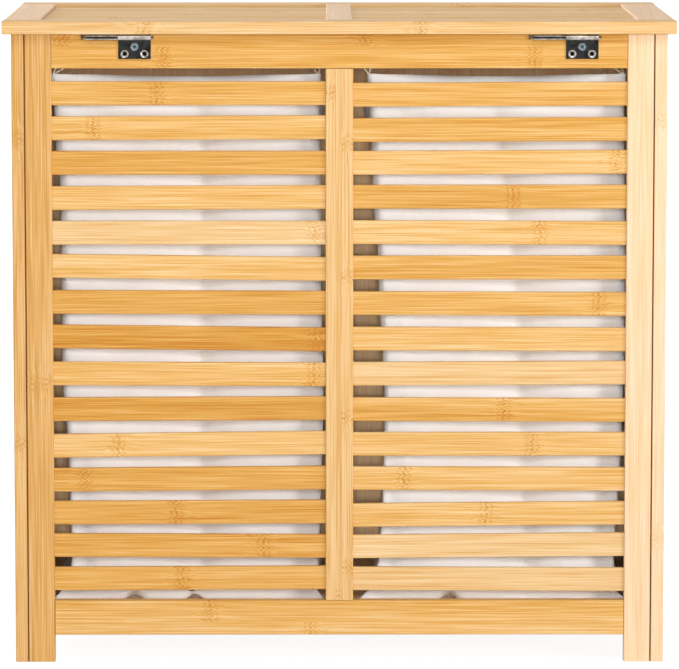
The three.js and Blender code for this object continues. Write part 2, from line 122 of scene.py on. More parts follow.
def bamboo(name, box, grain, across, seed, edges=(), tones=(0.5,), knuckles=(), colours=honey,
           crossed=(), cross_colours=None, raw=(), shaded_seams=()):
    """A bamboo material. Edges part the strips, in mm across the grain, and tones has one share
    for each. Knuckles are pairs of a strip's number and a place in mm along the grain. Crossed has
    pairs of places in mm along the grain, between which lies a board whose grain runs across, and
    cross_colours are that board's own. Raw names the sides that are left unlacquered, such as -x.
    Shaded seams are places in mm along x where the board meets its neighbour, and a thin dark line is painted
    there, as painted shade in the joint."""
    material, tree, shader = new_material(name)
    low, high = box
    place = add(tree, "TexCoord")
    parts = add(tree, "SeparateXYZ", inputs={0: place.outputs["Object"]})
    third = ({"x", "y", "z"} - {grain, across}).pop()
    along, over, deep = (parts.outputs[axis.upper()] for axis in (grain, across, third))
    first = low["xyz".index(across)]
    width = high["xyz".index(across)] - first

    # Where a cross board lies, the grain is turned
    turned = 0
    for start, end in crossed:
        inside = add(tree, "Math", {"operation": "COMPARE"}, {
            0: parts.outputs[grain.upper()], 1: (start + end) / 2000, 2: (end - start) / 2000})
        turned = add(tree, "Math", {"operation": "MAXIMUM"}, {0: inside, 1: turned})
    if crossed:
        along, over = (add(tree, "Mix", {"data_type": "FLOAT"}, {0: turned, 2: straight, 3: cross})
                       for straight, cross in ((along, over), (over, along)))

    # Each strip's number and tone, read from a stepped ramp across the board
    share = add(tree, "MapRange", inputs={"Value": over, "From Min": first, "From Max": first + width})
    starts = [0] + [(edge / 1000 - first) / width for edge in edges]
    if edges:
        stops = [(start, (number / most_strips, tone, 0, 1))
                 for number, (start, tone) in enumerate(zip(starts, tones))]
        ramp = add(tree, "ValToRGB", inputs={0: share}, stops=stops)
        ramp.color_ramp.interpolation = "CONSTANT"
        both = add(tree, "SeparateColor", inputs={0: ramp})
        strip = add(tree, "Math", {"operation": "MULTIPLY"}, {0: both.outputs[0], 1: most_strips})
        tone = both.outputs[1]
    else:
        strip = add(tree, "Math", {"operation": "MULTIPLY"}, {0: share, 1: 0})
        tone = add(tree, "Math", {"operation": "ADD"}, {0: strip, 1: tones[0]})
    layer = add(tree, "Math", {"operation": "MULTIPLY_ADD"}, {0: strip, 1: 0.37, 2: deep})
    spot = add(tree, "VectorMath", {"operation": "ADD"}, {
        0: add(tree, "CombineXYZ", inputs={0: along, 1: over, 2: layer}),
        1: (seed * 7.1, seed * 3.3, seed)})

    # Knuckles: the distance to the nearest, with a comb that makes its line jagged
    patterns = {}

    def pattern(title, where):
        cell = add(tree, "VectorMath", {"operation": "MULTIPLY"}, {
            0: where, 1: [1000 / length for length in bamboo_cells[title]]})
        patterns[title] = add(tree, "TexNoise", inputs={"Vector": cell, "Scale": 1, "Detail": 2})

    for title in ("comb", "waves", "dashes"):
        pattern(title, spot)
    jagged = add(tree, "Math", {"operation": "MULTIPLY_ADD"}, {
        0: patterns["comb"], 1: knuckle_wander, 2: -knuckle_wander / 2})
    cell = add(tree, "CombineXYZ", inputs={
        0: add(tree, "Math", {"operation": "ADD"}, {0: along, 1: jagged}), 1: strip})
    nearest = 1.0
    for number, middle in knuckles:
        gap = add(tree, "VectorMath", {"operation": "DISTANCE"}, {0: cell, 1: (middle / 1000, number, 0)})
        nearest = add(tree, "Math", {"operation": "MINIMUM"}, {0: gap.outputs["Value"], 1: nearest})
    near = add(tree, "MapRange", {"interpolation_type": "SMOOTHSTEP"},
               {"Value": nearest, "From Min": knuckle_half, "From Max": 0.4 * knuckle_half})
    around = add(tree, "MapRange", {"interpolation_type": "SMOOTHSTEP"},
                 {"Value": nearest, "From Min": knuckle_reach, "From Max": knuckle_reach / 8})
    rows = add(tree, "Math", {"operation": "SINE"}, {
        0: add(tree, "Math", {"operation": "MULTIPLY_ADD"}, {
            0: nearest, 1: math.tau / stroke_spacing, 2: math.pi / 2})})
    rows = add(tree, "Math", {"operation": "MAXIMUM"}, {0: rows, 1: -0.4})
    patchy = add(tree, "MapRange", inputs={
        "Value": patterns["dashes"], "From Min": 0.4, "From Max": 0.62, "To Min": 0.25})
    strokes = add(tree, "Math", {"operation": "MULTIPLY"}, {
        0: add(tree, "Math", {"operation": "MULTIPLY"}, {0: rows, 1: near}), 1: patchy})

    # Fibres swing sideways near a knuckle, and lie straight elsewhere
    swing = add(tree, "Math", {"operation": "MULTIPLY"}, {
        0: add(tree, "Math", {"operation": "SUBTRACT"}, {0: patterns["waves"], 1: 0.5}), 1: around})
    bent = add(tree, "CombineXYZ", inputs={
        1: add(tree, "Math", {"operation": "MULTIPLY"}, {0: swing, 1: fibre_swing})})
    fibre = add(tree, "VectorMath", {"operation": "ADD"}, {0: spot, 1: bent})
    toned = add(tree, "Math", {"operation": "MULTIPLY_ADD"}, {
        0: tone, 1: 0.7, 2: 0.15 - sum(fibre_depths.values()) / 2})
    for title, depth in fibre_depths.items():
        pattern(title, fibre)
        toned = add(tree, "Math", {"operation": "MULTIPLY_ADD"}, {0: patterns[title], 1: depth, 2: toned})
    for shade, depth in ((strokes, -0.55), (near, -0.1)):
        toned = add(tree, "Math", {"operation": "MULTIPLY_ADD"}, {0: shade, 1: depth, 2: toned})

    def dyed(four):
        return add(tree, "ValToRGB", inputs={0: toned}, stops=[
            (0.08, linear(four[0])), (0.95, linear(four[3])),
            (0.36, linear(four[1])), (0.64, linear(four[2]))])

    wood = dyed(colours)
    if cross_colours:
        wood = add(tree, "MixRGB", inputs={0: turned, 1: wood, 2: dyed(cross_colours)})

    # End grain: the cut ends of the fibres, as fine dark dots
    facing = add(tree, "SeparateXYZ", inputs={0: place.outputs["Normal"]})
    cut = add(tree, "MapRange", inputs={
        "Value": add(tree, "Math", {"operation": "ABSOLUTE"}, {0: facing.outputs[grain.upper()]}),
        "From Min": 0.75, "From Max": 0.9})
    dots = add(tree, "TexNoise", inputs={"Vector": place.outputs["Object"], "Scale": 900, "Detail": 1})
    pores = add(tree, "ValToRGB", inputs={0: dots}, stops=[
        (0.38, linear("#A8763D")), (0.58, linear("#D9A763"))])
    colour = add(tree, "MixRGB", inputs={0: cut, 1: wood, 2: pores})
    rough = add(tree, "Math", {"operation": "MULTIPLY_ADD"}, {
        0: patterns["fibres"], 1: 0.12, 2: lacquer_roughness - 0.06})

    # Unlacquered sides are paler and dull
    for side in raw:
        sign = 1 if side[0] == "+" else -1
        bare = add(tree, "MapRange", inputs={
            "Value": facing.outputs[side[1].upper()], "From Min": sign * 0.5, "From Max": sign * 0.8})
        dull = add(tree, "ValToRGB", inputs={0: toned}, stops=[
            (0.1, linear("#E4B07C")), (0.9, linear("#FCDAB0"))])
        colour = add(tree, "MixRGB", inputs={0: bare, 1: colour, 2: dull})
        rough = add(tree, "Mix", {"data_type": "FLOAT"}, {0: bare, 2: rough, 3: raw_roughness})
    # At each seam a thin dark line is painted, as painted shade in the joint between two boards
    for middle in shaded_seams:
        edge = add(tree, "Math", {"operation": "COMPARE"}, {
            0: parts.outputs["X"], 1: middle / 1000, 2: seam_shade_half})
        colour = add(tree, "MixRGB", inputs={0: edge, 1: colour, 2: linear("#8A5B30")})
    height = add(tree, "Math", {"operation": "MULTIPLY_ADD"}, {0: strokes, 1: -0.5, 2: patterns["fibres"]})
    bump = add(tree, "Bump", inputs={"Height": height, "Strength": 0.35, "Distance": 0.00025})
    tree.links.new(colour.outputs[0], shader.inputs["Base Color"])
    tree.links.new(rough.outputs[0], shader.inputs["Roughness"])
    tree.links.new(bump.outputs[0], shader.inputs["Normal"])
    shader.inputs["Specular IOR Level"].default_value = 0.3
    return material


crisp_edge, eased_edge = 0.0004, 0.0012


def finish_board(name, material, ease=crisp_edge):
    """Gives a CAD board its material, and rounds its edges a little, as sanding does."""
    board = nodes[name]
    board.material_slots[0].material = material
    weld = board.modifiers.new("joined faces", "WELD")
    weld.merge_threshold = 0.00001
    bevel = board.modifiers.new("sanded edges", "BEVEL")
    bevel.width = ease
    bevel.segments = 2
    bevel.limit_method = "ANGLE"
    bevel.angle_limit = math.radians(30)
    bevel.harden_normals = True


frame_boards = {
    "left_back_stile": dict(grain="z", across="x", tones=(0.16,), knuckles=[(0, 267)], colours=fair,
                            shaded_seams=[-294.7]),
    "back_mullion": dict(grain="z", across="x", edges=(-3.3, 2.3), tones=(0.5, 0.35, 0.42), colours=fair,
                         knuckles=[(2, 493), (2, 367), (2, 233), (2, 90), (1, 64), (0, 540)]),
    "right_back_stile": dict(grain="z", across="x", edges=(277, 287), tones=(0.6, 0.52, 0.6), colours=pale,
                             shaded_seams=[294.7]),
    # The upper strip is toned darker than the lower, partly as a strip of its own and partly as painted shade
    # under the lid
    "back_top_rail": dict(grain="x", across="z", edges=(584.4,), tones=(0.5, 0.42),
                          knuckles=[(1, -259), (1, 22.5), (0, -165), (0, 182)]),
    "back_bottom_rail": dict(grain="x", across="z", edges=(38,), tones=(0.72, 0.66),
                             knuckles=[(1, -123), (0, -27)]),
    "left_rear_leg": dict(grain="z", across="y", tones=(0.24, 0.24), edges=(-150,), colours=fair,
                          knuckles=[(0, 210), (0, 498)], shaded_seams=[-295]),
    "left_front_leg": dict(grain="z", across="y", tones=(0.45,), knuckles=[(0, 330)], colours=fair),
    "right_rear_leg": dict(grain="z", across="y", tones=(0.6,), knuckles=[(0, 516), (0, 115)], colours=pale,
                           shaded_seams=[295]),
    "right_front_leg": dict(grain="z", across="y", tones=(0.6,), knuckles=[(0, 180)], colours=fair),
}
for seed, (name, looks) in enumerate(frame_boards.items()):
    material = bamboo(f"laminated bamboo, {name.replace('_', ' ')}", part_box(name), seed=seed + 0.5, **looks)
    finish_board(name, material, ease=eased_edge if "leg" in name or "stile" in name else crisp_edge)

# Pilot holes, drilled 8.7 mm deep into the top rail, behind the two empty screw holes of each case leaf.
# Little light reaches their walls, so they are painted nearly black, as painted shade. The colour goes by
# the distance from a hole's middle, which counts for only a fifth along the hole, so it follows the walls
# down.
pilot_radius, pilot_depth_share = 0.0021, 0.2
pilot_middle, pilot_height = -0.1577, 0.5774
rail = nodes["back_top_rail"].material_slots[0].material
tree = rail.node_tree
shader = tree.nodes["Principled BSDF"]
board_colour = shader.inputs["Base Color"].links[0].from_node
place = add(tree, "VectorMath", {"operation": "MULTIPLY"}, {
    0: add(tree, "TexCoord").outputs["Object"], 1: (1, pilot_depth_share, 1)})
nearest = 1.0
for pilot in (-200.6, -182.2, 217.7, 236.1):
    gap = add(tree, "VectorMath", {"operation": "DISTANCE"}, {
        0: place, 1: (pilot / 1000, pilot_middle * pilot_depth_share, pilot_height)})
    nearest = add(tree, "Math", {"operation": "MINIMUM"}, {0: gap.outputs["Value"], 1: nearest})
solid = add(tree, "MapRange", inputs={
    "Value": nearest, "From Min": pilot_radius, "From Max": pilot_radius + 0.0002})
# The bores' walls get a near-black colour: painted shade
bore_painted_shade = add(tree, "MixRGB", inputs={0: solid, 1: linear("#1A110A"), 2: board_colour})
tree.links.new(bore_painted_shade.outputs[0], shader.inputs["Base Color"])

# Back slats: single bamboo strips, 6 mm thick, let into the stiles and the mullion.
# Their tones vary from slat to slat, and 18 of the 30 show a knuckle.
slat_tones = {
    "left": (0.6, 0.66, 0.47, 0.78, 0.65, 0.8, 0.42, 0.28, 0.7, 0.25, 0.78, 0.4, 0.4, 0.4, 0.52),
    "right": (0.6, 0.54, 0.8, 0.56, 0.84, 0.5, 0.62, 0.76, 0.55, 0.55, 0.8, 0.78, 0.8, 0.62, 0.52),
}
slat_knuckles = {
    "left": {1: -171, 2: -231, 5: -22, 8: -21, 9: -25, 11: -209, 12: -241, 13: -155, 14: -72, 15: -149},
    "right": {3: 261, 4: 163, 5: 188, 7: 244, 10: 155, 11: 181, 12: 61, 13: 139},
}
fair_slats = {"left": (5,), "right": (9, 14, 15)}
for side in ("left", "right"):
    for number in range(1, 16):
        name = f"{side}_back_slat_{number:02d}"
        spots = [(0, slat_knuckles[side][number])] if number in slat_knuckles[side] else []
        tone = slat_tones[side][number - 1]
        seed = number * 1.7 + (side == "right") * 40
        finish_board(name, bamboo(
            f"bamboo strip, {side} slat {number}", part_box(name), "x", "z", seed,
            tones=(tone,), knuckles=spots, colours=fair if number in fair_slats[side] else honey))

# Sides and front: framed boards of the same bamboo, lacquered outside and raw inside. The rails'
# grain runs across. Between them lie thin boards, glued up from strips and let into grooves.
panel_rails = ((26, 59), (563.7, 595.7))
panel_tones = (0.52, 0.64, 0.44, 0.58, 0.5, 0.68, 0.42, 0.6)
strip_width = 28
chance = random.Random(11)


def strip_knuckles(count, lowest, highest):
    """One knuckle in every other strip, each at a height of its own."""
    return [(number, chance.uniform(lowest, highest)) for number in range(0, count, 2)]


for seed, (side, inside) in enumerate((("left", "+x"), ("right", "-x"))):
    edges = [strip_width * number for number in range(-4, 5)]
    name = f"{side}_side_panel"
    finish_board(name, bamboo(
        f"laminated bamboo, {side} side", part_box(name), "z", "y", seed + 20.5, edges=edges,
        tones=[panel_tones[(number + 3 * seed) % 8] for number in range(len(edges) + 1)],
        knuckles=strip_knuckles(len(edges) + 1, 80, 540), crossed=panel_rails, raw=[inside]))
mullion_half = 13
edges = [side * (mullion_half + strip_width * number) for side in (-1, 1) for number in range(10)]
finish_board("front_panel", bamboo(
    "laminated bamboo, front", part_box("front_panel"), "z", "x", 30.5, edges=sorted(edges),
    tones=[panel_tones[number % 8] for number in range(len(edges) + 1)],
    knuckles=strip_knuckles(len(edges) + 1, 80, 540), crossed=panel_rails, raw=["-y"]))

# Bottom board: a thin board of raw bamboo, which slides into grooves in the rails.
finish_board("bottom_board", bamboo(
    "raw bamboo board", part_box("bottom_board"), "x", "y", 33.5, edges=[-90, -45, 0, 45, 90],
    tones=panel_tones[:6], raw=["+z", "-z"]))

# Bags: two open-topped bags of plain-woven white cotton, sewn from a base and four walls, hemmed
# round the rim. A cord loop at each corner hangs from a peg in the back rail or the front panel.
bag_low, bag_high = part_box("right_bag")
bag_middle = (bag_low + bag_high) / 2
bag_size = bag_high - bag_low
across_cells, deep_cells, wall_rows = 26, 29, 46
foot_inset = 0.0015
hem_height = 0.012


def sewn_shell():
    """The right-hand bag as it is cut and sewn: a flat base with four walls drawn up from its edges."""
    bpy.ops.object.select_all(action="DESELECT")
    bpy.ops.mesh.primitive_grid_add(x_subdivisions=across_cells, y_subdivisions=deep_cells, size=1,
                                    location=(bag_middle.x, bag_middle.y, bag_low.z))
    bpy.ops.object.transform_apply(location=True, rotation=True, scale=True)
    shell = bpy.context.object
    foot = (bag_middle.x, bag_middle.y, bag_low.z)
    base = (bag_size.x - 2 * foot_inset, bag_size.y - 2 * foot_inset)
    bpy.ops.object.mode_set(mode="EDIT")
    bpy.ops.mesh.select_mode(type="EDGE")
    bpy.ops.mesh.select_all(action="SELECT")
    bpy.ops.transform.resize(value=(base[0], base[1], 1), center_override=foot)
    edit = bmesh.from_edit_mesh(shell.data)
    for edge in edit.edges:
        edge.select = edge.is_boundary
    edit.select_flush_mode()
    bmesh.update_edit_mesh(shell.data)
    for row in range(wall_rows):
        bpy.ops.mesh.extrude_region_move(TRANSFORM_OT_translate={"value": (0, 0, bag_size.z / wall_rows)})
        if row == 0:
            bpy.ops.transform.resize(
                value=(bag_size.x / base[0], bag_size.y / base[1], 1), center_override=foot)
    bpy.ops.mesh.select_all(action="DESELECT")
    bpy.ops.mesh.edges_select_sharp(sharpness=math.radians(60))
    bpy.ops.transform.edge_crease(value=0.35)
    bpy.ops.object.mode_set(mode="OBJECT")
    return shell


def lay_flat(shell):
    """Writes the cut's own metres into the UV map, so that the weave runs with the thread."""
    layer = shell.data.uv_layers[0]
    layer.name = "cut"
    for face in shell.data.polygons:
        if abs(face.normal.z) > 0.9:
            pair = (0, 1)
        else:
            pair = (1, 2) if abs(face.normal.x) > 0.7 else (0, 2)
        for corner in face.loop_indices:
            spot = shell.data.vertices[shell.data.loops[corner].vertex_index].co
            layer.data[corner].uv = (spot[pair[0]], spot[pair[1]])


def apply_modifier(piece, modifier):
    """Applies a modifier as by hand, with nothing else selected."""
    bpy.ops.object.select_all(action="DESELECT")
    piece.select_set(True)
    bpy.context.view_layer.objects.active = piece
    bpy.ops.object.modifier_apply(modifier=modifier.name)


settling_steps = 40


def hang(shell):
    """Lets the cloth hang from its corners: gravity, and a slight draw inwards, as on an empty bag."""
    held = shell.vertex_groups.new(name="held")
    for vertex in shell.data.vertices:
        out_x = abs(vertex.co.x - bag_middle.x) / bag_size.x * 2
        out_y = abs(vertex.co.y - bag_middle.y) / bag_size.y * 2
        on_base = vertex.co.z < bag_low.z + 1e-4 and max(out_x, out_y) < 0.93
        at_loop = vertex.co.z > bag_high.z - 1e-4 and min(out_x, out_y) > 0.95
        if on_base or at_loop:
            held.add([vertex.index], 1, "REPLACE")
    cloth = shell.modifiers.new("hanging cotton", "CLOTH")
    cotton = cloth.settings
    cotton.quality = 8
    cotton.mass = 0.25
    cotton.tension_stiffness = 30
    cotton.compression_stiffness = 12
    cotton.shear_stiffness = 4
    cotton.bending_stiffness = 0.3
    cotton.tension_damping = cotton.compression_damping = cotton.shear_damping = 8
    cotton.air_damping = 2
    cotton.vertex_group_mass = "held"
    cotton.shrink_min = -0.010
    cotton.use_pressure = True
    cotton.uniform_pressure_force = -0.2
    cloth.collision_settings.use_collision = False
    cloth.point_cache.frame_start, cloth.point_cache.frame_end = 1, settling_steps
    scene = bpy.context.scene
    scene.frame_start, scene.frame_end = 1, settling_steps
    for step in range(1, settling_steps + 1):
        scene.frame_set(step)
    apply_modifier(shell, cloth)
    scene.frame_set(1)


def along_table(table, height):
    """Reads a height's value off a table of (height, value) pairs in mm, lowest first."""
    height = height * 1000
    if height <= table[0][0]:
        return table[0][1] / 1000
    for (low, first), (high, last) in zip(table, table[1:]):
        if height <= high:
            share = (height - low) / (high - low)
            share = share * share * (3 - 2 * share)
            return (first + (last - first) * share) / 1000
    return table[-1][1] / 1000


# How far each wall is drawn in at each height, where the packing fold runs, and where the foot
# lifts off the bottom board, in mm. The left-hand bag's places are those of its mirror image.
bag_forms = {
    "left": {"inner": [(56, -9), (66, -5), (100, -5), (250, -6), (380, -2.5), (558, -1)],
             "outer": [(56, -9), (64, -2), (78, 7), (100, 10), (200, 10), (270, 6), (440, 6.5), (500, 2),
                       (558, -1)],
             "fold": [(56, 133), (558, 132)], "lifts": (138, 194)},
    "right": {"inner": [(56, -7), (66, 2), (100, 13), (150, 18), (250, 22), (380, 17), (450, 12), (558, 8)],
              "outer": [(56, -8), (66, 0), (100, 3), (200, -0.3), (300, -1.5), (558, 1)],
              "fold": [(56, 176), (300, 168), (558, 145)], "lifts": (105,)},
}

# The rest of the settling, in metres. How far the cloth may move as it hangs, what share of its drop
# it keeps, and how hollow its walls are
longest_move, rim_drop_share = 0.010, 0.27
wall_bow = 0.008
# How much lower the front rim hangs than the back one, how much more it sags in its middle, and how
# far down that pulls the walls
front_drop, front_rim_sag, rim_reach = 0.026, 0.008, 0.18
corner_radius = 0.013
# How much further in the inner wall is drawn at the front, and how much higher its table is read there
front_draw, front_rise = 0.007, 0.055
# The packing fold and the ripples, and how far from the rim and from the foot they are at their full
fold_depth, fold_reach, ripple_depth = 0.0135, 0.018, 0.003
rim_fade, foot_fade = 0.06, 0.03
# How high and how wide the foot lifts, and from what share of the way out a place is on a wall
lift_height, lift_reach = 0.008, 0.011
wall_share = 0.97


def settle(shell, cut_places, form):
    """Limits how far the cloth has moved, draws the walls in, rounds the corners, slopes the rim down
    to the front, presses the packing fold into the back and front walls, and lifts the foot."""
    for vertex, start in zip(shell.data.vertices, cut_places):
        moved = vertex.co - start
        moved.z *= rim_drop_share
        if moved.length > longest_move:
            moved *= longest_move / moved.length
        spot = start + moved
        reach = (start.x - bag_middle.x) / (bag_size.x / 2)
        depth = (start.y - bag_middle.y) / (bag_size.y / 2)
        from_rim, from_foot = bag_high.z - start.z, start.z - bag_low.z
        fade = min(1.0, max(0.0, from_rim / rim_fade)) * min(1.0, max(0.0, from_foot / foot_fade))
        to_front = (1 + depth) / 2
        if reach > 0:
            inset = along_table(form["outer"], start.z)
        else:
            inset = along_table(form["inner"], start.z + front_rise * to_front) + front_draw * to_front
        spot.x -= inset * reach * abs(reach)
        hollow = wall_bow * math.sin(math.pi * min(1.0, max(0.0, from_foot / bag_size.z))) ** 0.5
        if abs(reach) > wall_share:
            spot.x -= math.copysign(hollow * max(0.0, 1 - depth ** 2) * fade, reach)
        if abs(depth) > wall_share:
            spot.y -= math.copysign(hollow * max(0.0, 1 - reach ** 2) * fade, depth)
        to_side, to_wall = (1 - abs(reach)) * bag_size.x / 2, (1 - abs(depth)) * bag_size.y / 2
        along_wall = max(to_side, to_wall)
        if min(to_side, to_wall) < 0.001 and along_wall < corner_radius:
            turn = math.pi / 4 * (1 - along_wall / corner_radius)
            pulls = [corner_radius * (1 - math.sin(turn)) - along_wall,
                     corner_radius * (1 - math.cos(turn))]
            pull_x, pull_y = pulls if to_wall < to_side else reversed(pulls)
            spot.x -= math.copysign(pull_x * fade, reach)
            spot.y -= math.copysign(pull_y * fade, depth)
        drop = front_drop + front_rim_sag * max(0.0, 1 - min(abs(reach), abs(depth)) ** 2)
        spot.z -= drop * to_front * max(0.0, 1 - from_rim / rim_reach)
        if abs(depth) > wall_share and start.z > bag_low.z + 1e-3:
            beside = abs(start.x - along_table(form["fold"], start.z))
            ripple = noise.noise(Vector((start.x * 14, start.y * 14 + 5, start.z * 5)))
            push = fold_depth * math.exp(-beside / fold_reach) + ripple_depth * ripple
            spot.y -= math.copysign(push * fade, depth)
        if start.z < bag_low.z + 0.008 and depth < -0.9:
            for lift in form["lifts"]:
                spot.z += lift_height * max(0.0, 1 - abs(start.x - lift / 1000) / lift_reach)
        vertex.co = spot


# Plain-woven cotton, bleached: matt, a faint fuzz at grazing angles, and soft dents where it was
# handled. Real threads lie 0.4 mm apart: they are drawn at 0.9 mm, so that the weave can show.
thread_spacing = 0.0009
wave_length = math.tau / 20
stitch_spacing, stitch_rise, stitch_half = 0.0032, 0.002, 0.0005


def woven(name, stitched=False):
    """A cotton material. A stitched one has a row of stitches near the hem's lower edge."""
    material, tree, shader = new_material(name)
    cut = add(tree, "UVMap", {"uv_map": "cut"})
    warp, weft = (add(tree, "TexWave", {"bands_direction": axis}, {
        "Vector": cut, "Scale": wave_length / thread_spacing, "Distortion": 0.3, "Detail": 1})
        for axis in "XY")
    height = add(tree, "Math", {"operation": "MULTIPLY"}, {0: warp.outputs[1], 1: weft.outputs[1]})
    dents = add(tree, "TexNoise", inputs={"Vector": cut, "Scale": 42, "Detail": 3, "Roughness": 0.5})
    cloud = add(tree, "TexNoise", inputs={"Vector": cut, "Scale": 9, "Detail": 2})
    tint = add(tree, "ValToRGB", inputs={0: cloud}, stops=[
        (0.3, linear("#F6F6F7")), (0.7, linear("#FCFCFD"))])
    if stitched:
        parts = add(tree, "SeparateXYZ", inputs={0: cut})
        off_line = add(tree, "Math", {"operation": "COMPARE"}, {
            0: parts.outputs[1], 1: bag_high.z - hem_height + stitch_rise, 2: stitch_half})
        turns = add(tree, "Math", {"operation": "MULTIPLY"}, {
            0: parts.outputs[0], 1: math.tau / stitch_spacing})
        stitch = add(tree, "Math", {"operation": "GREATER_THAN"}, {
            0: add(tree, "Math", {"operation": "SINE"}, {0: turns}), 1: -0.4})
        sewn_spot = add(tree, "Math", {"operation": "MULTIPLY"}, {0: off_line, 1: stitch})
        tint = add(tree, "MixRGB", inputs={0: sewn_spot, 1: tint, 2: linear("#DCD8D2")})
    fine = add(tree, "Bump", inputs={"Height": height, "Strength": 0.25, "Distance": 0.0001})
    soft = add(tree, "Bump", inputs={"Height": dents, "Strength": 0.5, "Distance": 0.003, "Normal": fine})
    tree.links.new(tint.outputs[0], shader.inputs["Base Color"])
    tree.links.new(soft.outputs[0], shader.inputs["Normal"])
    shader.inputs["Roughness"].default_value = 0.9
    shader.inputs["Specular IOR Level"].default_value = 0.2
    shader.inputs["Sheen Weight"].default_value = 0.15
    shader.inputs["Sheen Roughness"].default_value = 0.5
    return material


cotton_plain = woven("bleached cotton, plain weave")
cotton_hem = woven("bleached cotton hem, lockstitched", stitched=True)

# Twisted cotton cord of the loops, unbleached, 1.6 mm thick: the eye sees a cream line whose two
# plies turn once in 6 mm, drawn twice as coarse as real.
cord_cotton, tree, shader = new_material("unbleached cotton cord, twisted")
place = add(tree, "TexCoord")
twist = add(tree, "TexWave", {"bands_direction": "DIAGONAL"}, {
    "Vector": place.outputs["Object"], "Scale": wave_length / 0.003})
ply = add(tree, "ValToRGB", inputs={0: twist.outputs[1]}, stops=[
    (0.2, linear("#CDBE9F")), (0.8, linear("#EFE6D0"))])
lay = add(tree, "Bump", inputs={"Height": twist.outputs[1], "Strength": 0.6, "Distance": 0.0002})
tree.links.new(ply.outputs[0], shader.inputs["Base Color"])
tree.links.new(lay.outputs[0], shader.inputs["Normal"])
shader.inputs["Roughness"].default_value = 0.85

sewn = sewn_shell()
lay_flat(sewn)
unhung = sewn.copy()
unhung.data = sewn.data.copy()
bpy.context.scene.collection.objects.link(unhung)
hang(sewn)
for shell in (sewn, unhung):
    finer = shell.modifiers.new("finer cloth", "SUBSURF")
    finer.levels = finer.render_levels = 1
    apply_modifier(shell, finer)
cut_places = [vertex.co.copy() for vertex in unhung.data.vertices]
bpy.data.objects.remove(unhung)

cord_radius = 0.0008
cord_half_width = 0.0050
cord_plane = 0.1432
peg_height = 0.5757
peg_places = (0.024, 0.255)
for side, sign in (("left", -1), ("right", 1)):
    bag = sewn.copy()
    bag.data = sewn.data.copy()
    bpy.context.scene.collection.objects.link(bag)
    bag.name = f"{side}_cotton_bag"
    settle(bag, cut_places, bag_forms[side])
    if sign < 0:
        bag.data.transform(Matrix.Scale(-1, 4, (1, 0, 0)))
        bag.data.flip_normals()
    for face in bag.data.polygons:
        face.use_smooth = True

    # Hem: the rim is turned over twice, so it is a band three layers thick
    hem = bag.copy()
    hem.data = bag.data.copy()
    hem.name = f"{side}_bag_hem"
    bpy.context.scene.collection.objects.link(hem)
    band = bmesh.new()
    band.from_mesh(hem.data)
    band.verts.ensure_lookup_table()
    spare = [vertex for vertex, start in zip(band.verts, cut_places) if start.z < bag_high.z - hem_height]
    bmesh.ops.delete(band, geom=spare, context="VERTS")
    band.to_mesh(hem.data)
    band.free()
    for piece, material, thickness in ((bag, cotton_plain, 0.0007), (hem, cotton_hem, 0.0022)):
        piece.data.materials.append(material)
        wall = piece.modifiers.new("cloth thickness", "SOLIDIFY")
        wall.thickness, wall.offset = thickness, 0
        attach(piece, "case")
    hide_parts(f"{side}_bag")

    # Loops: a cord runs from each corner of the hem up and over its peg, and back
    for end in (-1, 1):
        for number, peg_x in enumerate(peg_places):
            corner = Vector((bag_low.x if number == 0 else bag_high.x, end * bag_high.y, bag_high.z))
            nearest = min(range(len(cut_places)), key=lambda index: (cut_places[index] - corner).length)
            foot = bag.data.vertices[nearest].co.copy()
            foot.x *= sign
            half = cord_half_width
            path = [(foot.x, foot.y, foot.z - 0.002), (peg_x + half, end * cord_plane, peg_height - 0.001),
                    (peg_x, end * cord_plane, peg_height + half),
                    (peg_x - half, end * cord_plane, peg_height - 0.001)]
            curve = bpy.data.curves.new("loop", "CURVE")
            curve.dimensions = "3D"
            curve.bevel_depth = cord_radius
            curve.bevel_resolution = 2
            curve.resolution_u = 6
            spline = curve.splines.new("BEZIER")
            spline.bezier_points.add(len(path) - 1)
            for point, spot in zip(spline.bezier_points, path):
                point.co = (spot[0] * sign, spot[1], spot[2])
                point.handle_left_type = point.handle_right_type = "AUTO"
            spline.bezier_points[0].handle_left_type = spline.bezier_points[0].handle_right_type = "VECTOR"
            spline.use_cyclic_u = True
            loop = bpy.data.objects.new(f"{side}_bag_loop_{(end > 0) * 2 + number + 1}", curve)
            bpy.context.scene.collection.objects.link(loop)
            bpy.ops.object.select_all(action="DESELECT")
            loop.select_set(True)
            bpy.context.view_layer.objects.active = loop
            bpy.ops.object.convert(target="MESH")
            loop.data.materials.append(cord_cotton)
            bpy.ops.object.shade_smooth()
            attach(loop, "case")
bpy.data.objects.remove(sewn)

